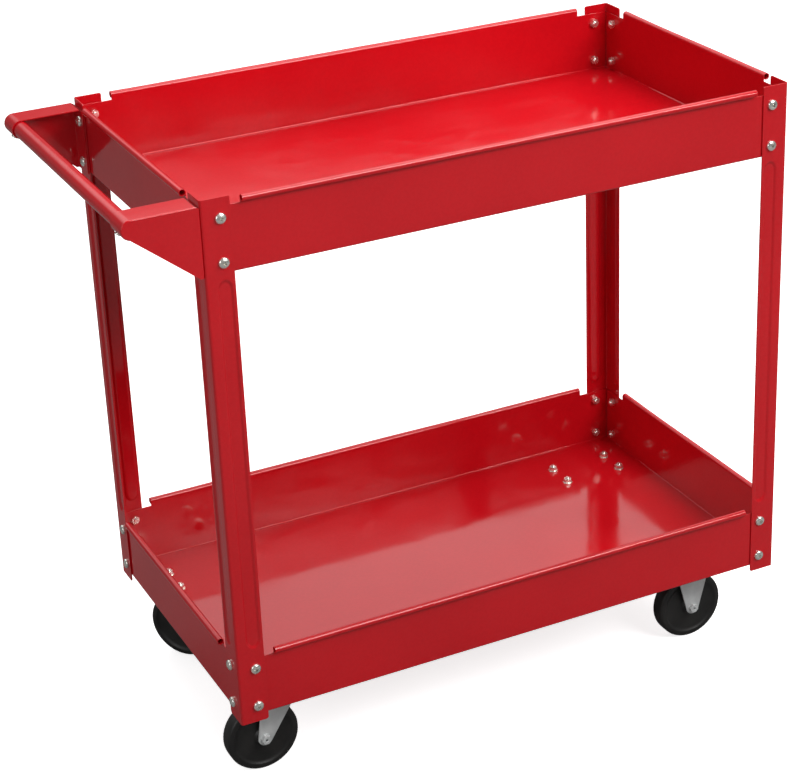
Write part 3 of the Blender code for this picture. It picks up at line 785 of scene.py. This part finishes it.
def makeAxle(name, body, centre, outwards, node, heading=0.0):
    seat = caster["forkInner"] + caster["forkSheet"]
    radius, hexRadius, sides = axle["radius"], axle["hexRadius"], axle["sides"]
    direction = Matrix.Rotation(heading, 3, 'Z') @ Vector((0, outwards, 0))
    end = 2 * seat + axle["nut"]
    profile = [(0, 0), (radius, 0), (radius, -end)]
    profile += threadedEnd(radius, -end - axle["threadGap"], -2 * seat - axle["end"], axle["pitch"],
                           axle["thread"])
    shank = placed(turned(profile, sides), centre + direction * seat, direction)
    makePiece(f"{name}Bolt", shank, body, zinc, [node], sharp=axle["sharp"])
    head = placed(hexNut(hexRadius, axle["head"], radius * axle["socket"]),
                  centre + direction * (seat + axle["head"]), direction, axle["headTurn"])
    makePiece(f"{name}Head", head, body, zinc, sharp=axle["sharp"])
    nut = placed(hexNut(hexRadius, axle["nut"], radius + axle["nutPlay"]),
                 centre - direction * (seat + axle["nut"]), -direction, axle["nutTurn"])
    makePiece(f"{name}LockNut", nut, body, zinc, sharp=axle["sharp"])
    inner, half = radius + axle["bushPlay"], caster["forkInner"] - axle["bushInset"]
    outer = inner + axle["bush"]
    bush = turnedRing([(inner, -half), (inner, half), (outer, half), (outer, -half)], sides)
    makePiece(f"{name}Bush", placed(bush, centre, direction), body, zinc, sharp=axle["sharp"])


def makeCasterBolts(label, middle, plateTop, floorTop):
    # bolts stand head down through the plate, with washer and nut on the lower tray's floor
    plateFoot = plateTop - caster["plateThick"]
    grip = floorTop - plateFoot + caster["washerRoom"]
    firstTurn, nextTurn = caster["boltTurn"]
    for index in range(4):
        stepX, stepY = (0.5, -0.5)[index % 2], (0.5, -0.5)[index // 2]
        place = Vector((middle.x + stepX * caster["holes"][0], middle.y + stepY * caster["holes"][1],
                        plateFoot))
        turn = math.radians(firstTurn + nextTurn * index)
        seat = place + up * (grip - caster["washerRoom"])
        stack = {"Bolt": placed(boltOf(grip), place, -up, turn), "Washer": placed(washer(), seat, up),
                 "Nut": placed(nutShape, seat + up * washerForm["thick"], -up, turn)}
        for part, shape in stack.items():
            makePiece(f"{label}{part}_{index + 1}", shape, "cart", bright, sharp=bolt["sharp"])


def makeFixedCaster(side, floorTop):
    name = f"fixed_caster_{side}"
    low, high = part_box(f"{name}_bracket")
    body = f"fixed_wheel_{side}"
    wheel = makeWheel(f"fixedWheel_{side}", body, f"{name}_wheel")
    makeMountingPlate(f"fixedPlate_{side}", low, high, [f"{name}_bracket"])
    makeFork(f"fixedFork_{side}", "cart", caster["fixedSpan"],
             high.z - caster["plateThick"] - caster["fixedGap"], wheel, [])
    makeAxle(f"fixedAxle_{side}", "cart", wheel, -ways[side], f"{name}_axle")
    makeCasterBolts(f"fixedPlate_{side}", (low + high) / 2, high.z, floorTop)


swivel = {"sides": 48, "pinSides": 36, "hole": 0.0066, "raceHole": 0.0068,
          "raceWall": ((0.0262, 0), (0.0245, -0.0006), (0.0232, -0.0016), (0.0222, -0.0032),
                       (0.0212, -0.0046)),
          "raceFoot": ((0.0196, 0.0008), (0.0150, 0.0006)),
          "crown": ((0.0200, 0), (0.0212, -0.0008), (0.0245, -0.0008), (0.0256, 0.0006),
                    (0.0266, 0.0006), (0.0270, -0.0004), (0.0270, -0.0026)),
          "crownFoot": 0.0262, "crownThick": 0.004, "balls": 16, "ballRadius": 0.0020,
          "ballPitch": 0.0232, "ballSink": 0.0008, "forkDrop": 0.0008, "pinRadius": 0.0058,
          "pinTop": (0.0004, 0.0010), "pinBreak": 0.0006,
          "pinHead": ((0.0100, 0), (0.0108, -0.0008), (0.0104, -0.0022), (0.0085, -0.0034),
                      (0.0050, -0.0040), (0, -0.0041))}


def makeSwivelCaster(side, floorTop):
    name = f"swivel_caster_{side}"
    low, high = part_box(f"{name}_plate")
    pinLow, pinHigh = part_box(f"{name}_kingpin")
    pin = (pinLow + pinHigh) / 2
    wheelLow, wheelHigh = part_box(f"{name}_wheel")
    ahead = pin - (wheelLow + wheelHigh) / 2
    heading, trail = math.atan2(ahead.y, ahead.x), math.hypot(ahead.x, ahead.y)
    body = f"swivel_fork_{side}"
    wheel = makeWheel(f"swivelWheel_{side}", f"swivel_wheel_{side}", f"{name}_wheel", heading)
    makeMountingPlate(f"swivelPlate_{side}", low, high, [f"{name}_plate"])
    plateFoot = high.z - caster["plateThick"]
    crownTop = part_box(f"{name}_fork")[1].z
    depth = plateFoot - crownTop
    raceFoot = [(reach, -depth + rise) for reach, rise in swivel["raceFoot"]]
    race = turnedRing([(swivel["raceHole"], 0), *swivel["raceWall"], *raceFoot,
                       (swivel["raceHole"], raceFoot[-1][1])], swivel["sides"])
    makePiece(f"swivelRace_{side}", placed(race, (pin.x, pin.y, plateFoot), up), "cart", zinc)
    hole, thick = swivel["hole"], swivel["crownThick"]
    crown = turnedRing([(hole, 0), *swivel["crown"], (swivel["crownFoot"], -thick),
                        (hole, -thick)], swivel["sides"])
    makePiece(f"swivelCrown_{side}", placed(crown, (pin.x, pin.y, crownTop), up), body, zinc)
    balls = bmesh.new()
    radius, pitch = swivel["ballRadius"], swivel["ballPitch"]
    for index in range(swivel["balls"]):
        turn = math.tau * index / swivel["balls"]
        place = (pin.x + pitch * math.cos(turn), pin.y + pitch * math.sin(turn),
                 crownTop + radius - swivel["ballSink"])
        bmesh.ops.create_icosphere(balls, subdivisions=2, radius=radius,
                                   matrix=Matrix.Translation(place))
    makePiece(f"swivelBalls_{side}", balls, body, bright, sharp=60)
    span = [trail + reach for reach in caster["swivelSpan"]]
    makeFork(f"swivelFork_{side}", body, span, crownTop - swivel["forkDrop"], wheel,
             [f"{name}_fork"], heading)
    radius, foot = swivel["pinRadius"], crownTop - thick
    top, shoulder = (high.z - drop for drop in swivel["pinTop"])
    head = [(reach, foot + rise) for reach, rise in swivel["pinHead"]]
    kingpin = turned([(0, top), (radius - swivel["pinBreak"], top), (radius, shoulder),
                      (radius, foot), *head], swivel["pinSides"])
    bmesh.ops.translate(kingpin, vec=(pin.x, pin.y, 0), verts=kingpin.verts)
    makePiece(f"swivelKingpin_{side}", kingpin, "cart", zinc, [f"{name}_kingpin"])
    makeAxle(f"swivelAxle_{side}", body, wheel, -ways[side], f"{name}_axle", heading)
    makeCasterBolts(f"swivelPlate_{side}", (low + high) / 2, high.z, floorTop)


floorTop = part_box("bottom_tray")[0].z + pan["sheet"]
for side in ("front", "back"):
    makeFixedCaster(side, floorTop)
    makeSwivelCaster(side, floorTop)
print("casters assembled")

# Floor, light and camera


floorLook = {"radius": 14, "sides": 64, "white": ((0.86, 0.86, 0.86), (0.90, 0.90, 0.90)),
             "bounce": (0.22, 0.22, 0.22), "glow": 0.75, "rough": 0.85, "grain": 1.5}


def makeStage():
    bm = bmesh.new()
    bmesh.ops.create_circle(bm, cap_ends=True, segments=floorLook["sides"],
                            radius=floorLook["radius"])
    mesh = bpy.data.meshes.new("studioFloor")
    bm.to_mesh(mesh)
    bm.free()
    floor = bpy.data.objects.new("studioFloor", mesh)
    bpy.context.scene.collection.objects.link(floor)
    # white to the eye, greyer in what it throws back onto the cart
    pale = Finish("paleFloor", "", Roughness=floorLook["rough"], Metallic=0.0,
                  Specular_IOR_Level=0.0)
    seen = pale.add("ShaderNodeLightPath", {}, {}, "Is Camera Ray")
    white = pale.mix(*floorLook["white"], pale.grain(floorLook["grain"]))
    pale.feed("Base Color", pale.mix(floorLook["bounce"], white, seen))
    pale.shader.inputs["Emission Color"].default_value = (1, 1, 1, 1)
    pale.feed("Emission Strength", seen * floorLook["glow"])
    mesh.materials.append(pale.material)


def makeWorld():
    # dim white all round, with a bright band high behind the cart
    sky = {"back": (0.35, 0.94, 0.0), "dim": 0.19, "full": 1.45, "low": 0.31, "high": 0.47,
           "side": -0.2, "behind": 0.6}
    world = bpy.data.worlds.new("studioWhite")
    bpy.context.scene.world = world
    world.use_nodes = True
    nodes, links = world.node_tree.nodes, world.node_tree.links
    place = nodes.new("ShaderNodeTexCoord")
    facing = nodes.new("ShaderNodeVectorMath")
    facing.operation = 'DOT_PRODUCT'
    facing.inputs[1].default_value = Vector(sky["back"]).normalized()
    links.new(place.outputs["Generated"], facing.inputs[0])
    height = nodes.new("ShaderNodeSeparateXYZ")
    links.new(place.outputs["Generated"], height.inputs[0])

    def spread(source, low, high, start, end):
        node = nodes.new("ShaderNodeMapRange")
        node.interpolation_type = 'SMOOTHSTEP'
        links.new(source, node.inputs["Value"])
        for socket, value in (("From Min", low), ("From Max", high), ("To Min", start), ("To Max", end)):
            node.inputs[socket].default_value = value
        return node

    rise = spread(height.outputs["Z"], sky["low"], sky["high"], 0.0, 1.0)
    behind = spread(facing.outputs["Value"], sky["side"], sky["behind"], sky["dim"], sky["full"])
    strength = nodes.new("ShaderNodeMix")
    strength.inputs["A"].default_value = sky["dim"]
    links.new(rise.outputs["Result"], strength.inputs["Factor"])
    links.new(behind.outputs["Result"], strength.inputs["B"])
    nodes["Background"].inputs["Color"].default_value = (1, 1, 1, 1)
    links.new(strength.outputs["Result"], nodes["Background"].inputs["Strength"])


softboxes = {"topSoftbox": {"place": (0.5, -0.1, 2.6), "target": (0.05, 0, 0.5),
                            "size": (2.2, 1.6), "power": 27},
             "frontSoftbox": {"place": (1.2, -2.4, 2.4), "target": (0.05, 0, 0.45),
                              "size": (1.8, 1.2), "power": 72},
             "leftSoftbox": {"place": (-2.4, -1.2, 1.3), "target": (0.05, 0, 0.45),
                             "size": (1.4, 1.4), "power": 14}}


def makeLight(name, place, target, size, power):
    light = bpy.data.lights.new(name, 'AREA')
    light.shape = 'RECTANGLE'
    light.size, light.size_y = size
    light.energy = power
    lamp = bpy.data.objects.new(name, light)
    lamp.location = place
    lamp.rotation_euler = (Vector(place) - Vector(target)).to_track_quat('Z', 'Y').to_euler()
    bpy.context.scene.collection.objects.link(lamp)


cameraSetup = {"target": (0.0221, 0.0208, 0.4596), "distance": 2.8223, "azimuth": -25.459,
               "elevation": 24.121, "roll": -2.318, "lens": 100.26, "sensor": 36,
               "shift": (-0.0260, -0.0646)}


def makeCamera():
    turn, rise, roll = (math.radians(cameraSetup[key]) for key in ("azimuth", "elevation", "roll"))
    forward = Vector((-math.sin(turn) * math.cos(rise), math.cos(turn) * math.cos(rise),
                      -math.sin(rise)))
    level = Vector((math.cos(turn), math.sin(turn), 0))
    right = level * math.cos(roll) + level.cross(forward) * math.sin(roll)
    above = right.cross(forward)
    data = bpy.data.cameras.new("viewer")
    data.lens = cameraSetup["lens"]
    data.sensor_width = cameraSetup["sensor"]
    data.shift_x, data.shift_y = cameraSetup["shift"]
    camera = bpy.data.objects.new("viewer", data)
    camera.rotation_euler = Matrix((right, above, -forward)).transposed().to_euler()
    camera.location = Vector(cameraSetup["target"]) - forward * cameraSetup["distance"]
    bpy.context.scene.collection.objects.link(camera)
    bpy.context.scene.camera = camera


makeStage()
makeWorld()
for name, settings in softboxes.items():
    makeLight(name, **settings)
makeCamera()
bpy.context.scene.view_settings.view_transform = 'Standard'
print("stage, light and camera set")
